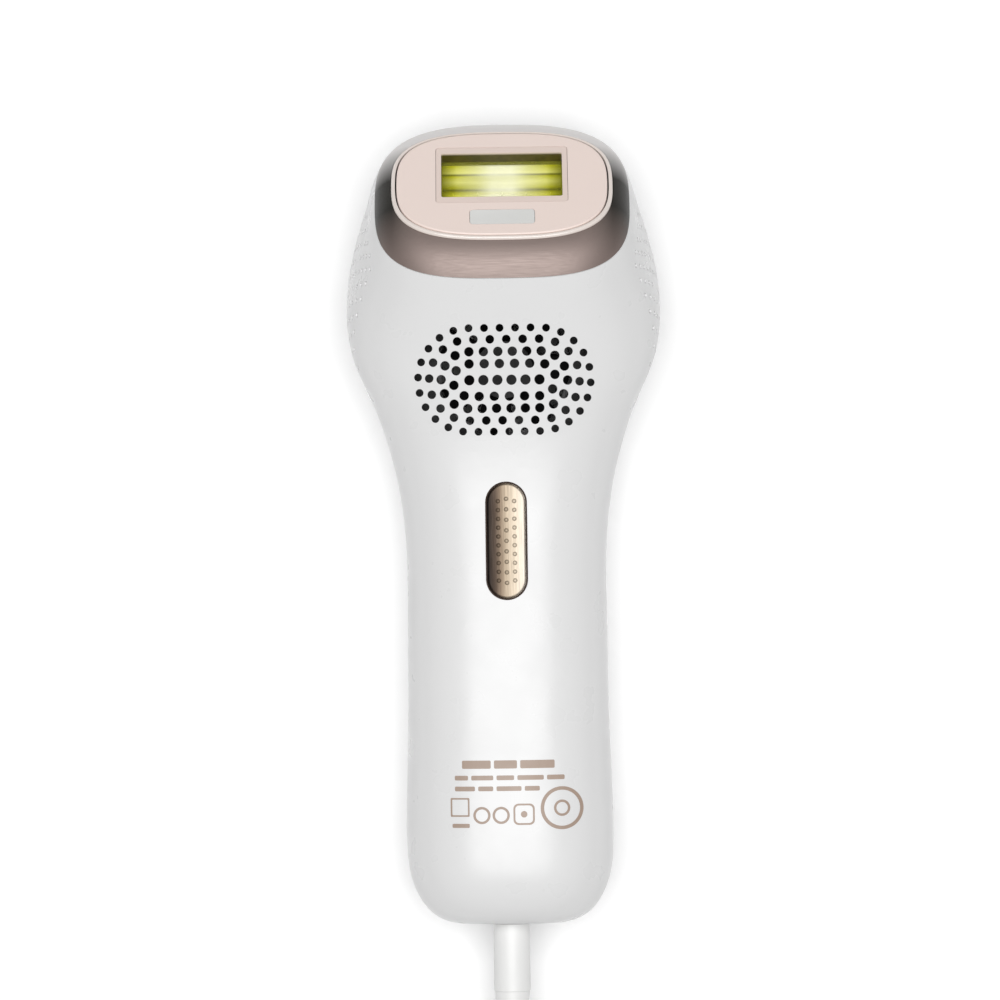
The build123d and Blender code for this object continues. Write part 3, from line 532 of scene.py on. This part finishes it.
def lead_in():
    """From the plug's strain relief down to the table and the start of the coil."""
    start = -PLUG_GAP - PLUG_L - RELIEF_L
    return [
        (0.0, start, JACK_Z / MM), (0.0, start - 12, JACK_Z / MM), (2.0, start - 23, 15.4),
        (6.4, start - 33, 8.6), (13.6, start - 41, 4.0), (24.0, start - 48, LOW_LAYER),
        (31.5, start - 59, LOW_LAYER), (33.0, start - 74, LOW_LAYER),
    ]


def coil_turns():
    """Nine turns in two layers: inwards along the table, then outwards on top."""
    turns, steps, pitch = 9, 16, 4.22
    half, climb = turns / 2, 0.4                     # the cord climbs over 0.4 of a turn
    points = []
    for k in range(2, turns * steps - 1):
        t = k / steps
        rise = min(max((t - half + climb / 2) / climb, 0), 1)
        eased = rise * rise * (3 - 2 * rise)
        r = COIL_OUTER_R - pitch * (t if t < half else turns - t)
        a = -2 * pi * t
        z = LOW_LAYER + (HIGH_LAYER - LOW_LAYER) * eased
        points.append((r * cos(a), COIL_Y + r * sin(a), z))
    return points


def lead_out():
    """From the coil's upper layer down to the table, then up into the adapter's strain relief."""
    mouth = ADAPTER_Y + ADAPTER_HALF_L + ADAPTER_RELIEF_L
    return [
        (33.0, COIL_Y - 1, HIGH_LAYER), (33.2, COIL_Y - 12, 6.2), (32.0, COIL_Y - 23, 3.4),
        (28.0, COIL_Y - 31, 3.0), (21.0, COIL_Y - 38, 5.5), (ADAPTER_X, COIL_Y - 46, ADAPTER_CORD_Z),
        (ADAPTER_X, mouth, ADAPTER_CORD_Z),
    ]


def smooth_curve(name, points, diameter):
    """A round cord along one NURBS spline that has these control points."""
    curve = bpy.data.curves.new(name, "CURVE")
    curve.dimensions = "3D"
    spline = curve.splines.new("NURBS")
    spline.points.add(len(points) - 1)
    for spot, point in zip(spline.points, points):
        spot.co = (*at(*point), 1)
    spline.order_u = 3
    spline.use_endpoint_u = True
    spline.resolution_u = 6
    curve.bevel_depth = diameter / 2
    curve.bevel_resolution = 5
    return link(bpy.data.objects.new(name, curve))


cord = smooth_curve("power_cord", lead_in() + coil_turns() + lead_out(), CORD_D)
cord.data.materials.append(cord_skin)
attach(cord, "power_lead")
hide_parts("cord_lead_in", "cord_coil", "cord_lead_out")


# ------------------------------------------------------------------ stage
FLOOR_HALF, FLOOR_DROP = 4.0, 0.0003
FLOOR_GLOW, SKY_GLOW = 0.11, 0.135
SOFTBOX_SIDE, SOFTBOX_HEIGHT, SOFTBOX_WATTS = 1.6, 2.0, 43


def pale_floor():
    """A plain white floor, with a little glow of its own so that it stays paper white."""
    mesh = bpy.data.meshes.new("floor")
    h = FLOOR_HALF
    mesh.from_pydata([(-h, -h, 0), (h, -h, 0), (h, h, 0), (-h, h, 0)], [], [(0, 1, 2, 3)])
    floor = link(bpy.data.objects.new("floor", mesh))
    floor.location.z = -FLOOR_DROP
    p = Paint("floor_white", (0.95, 0.95, 0.95), 0.7)
    p.colour(p.ramp(p.noise(3, 2), [(0.3, (0.945, 0.945, 0.945)), (0.7, (0.95, 0.95, 0.95))]))
    p.set("Emission Color", (1, 1, 1, 1))
    p.set("Emission Strength", FLOOR_GLOW)
    mesh.materials.append(p.material)


def overhead_softbox():
    """One large soft light, straight above, shining down."""
    data = bpy.data.lights.new("overhead", "AREA")
    data.shape = "RECTANGLE"
    data.size = data.size_y = SOFTBOX_SIDE
    data.energy = SOFTBOX_WATTS
    lamp = link(bpy.data.objects.new("overhead", data))
    lamp.location.z = SOFTBOX_HEIGHT


def pale_sky():
    world = bpy.data.worlds.new("studio")
    bpy.context.scene.world = world
    world.use_nodes = True
    background = world.node_tree.nodes["Background"]
    background.inputs["Color"].default_value = (1, 1, 1, 1)
    background.inputs["Strength"].default_value = SKY_GLOW


pale_floor()
overhead_softbox()
pale_sky()
